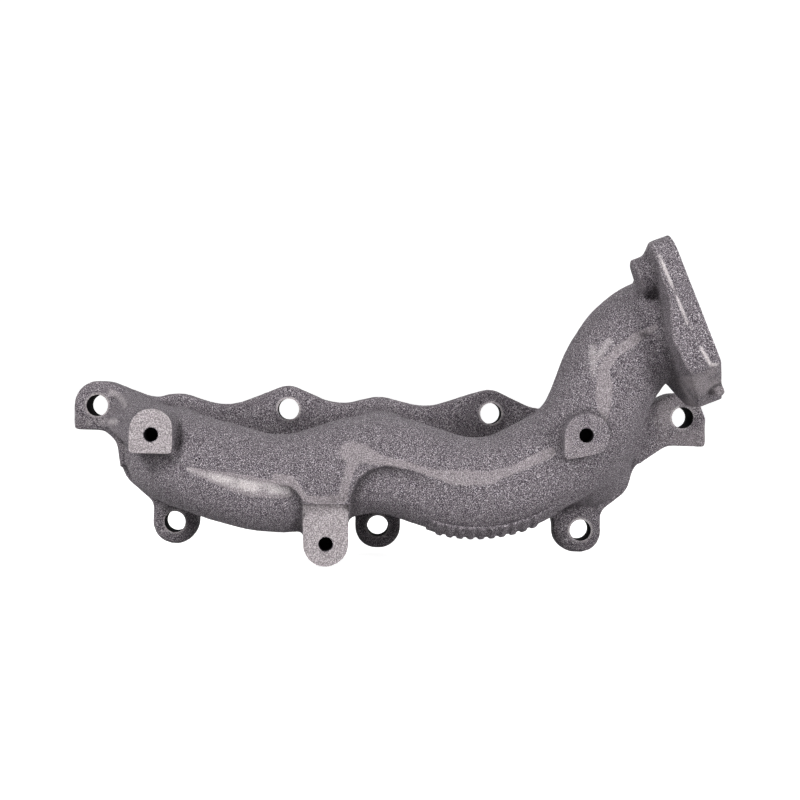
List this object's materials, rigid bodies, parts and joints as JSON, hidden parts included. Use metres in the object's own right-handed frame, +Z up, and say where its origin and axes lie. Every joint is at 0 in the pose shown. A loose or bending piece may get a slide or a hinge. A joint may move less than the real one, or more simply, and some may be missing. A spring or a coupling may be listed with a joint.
{
  "type": "exhaust manifold",
  "caption": "Log-type cast-iron exhaust manifold with a scalloped port flange, an upswept outlet elbow and a three-stud outlet flange.",
  "frame": {"origin": "centre of the middle port on the port flange's machined face", "axes": "+X along the engine towards the outlet, +Y into the cylinder head, +Z up"},
  "size_m": [0.3278, 0.1, 0.1614],
  "materials": {
    "cast_iron": "as-cast grey iron, shot-blasted",
    "machined_iron": "milled and drilled grey iron"
  },
  "bodies": {
    "root": {"bracket_tab": "machined_iron", "end_gusset_left": "cast_iron", "end_gusset_right": "cast_iron", "log_centre": "cast_iron", "log_left": "cast_iron", "log_right": "cast_iron", "lower_bolt_lug_centre": "cast_iron", "lower_bolt_lug_left": "cast_iron", "lower_bolt_lug_right": "cast_iron", "outlet_elbow_lower": "cast_iron", "outlet_elbow_upper": "cast_iron", "outlet_flange": "cast_iron", "outlet_stud_bosses": "cast_iron", "port_elbow_left": "cast_iron", "port_flange_centre": "cast_iron", "port_flange_left": "cast_iron", "port_flange_right": "cast_iron", "runner_centre": "cast_iron", "runner_right": "cast_iron", "shield_boss_left": "machined_iron", "shield_boss_right": "machined_iron", "underside_rib_pad": "cast_iron", "upper_bolt_lug_1": "cast_iron", "upper_bolt_lug_2": "cast_iron", "upper_bolt_lug_3": "cast_iron", "upper_bolt_lug_4": "cast_iron"}
  },
  "joints": []
}
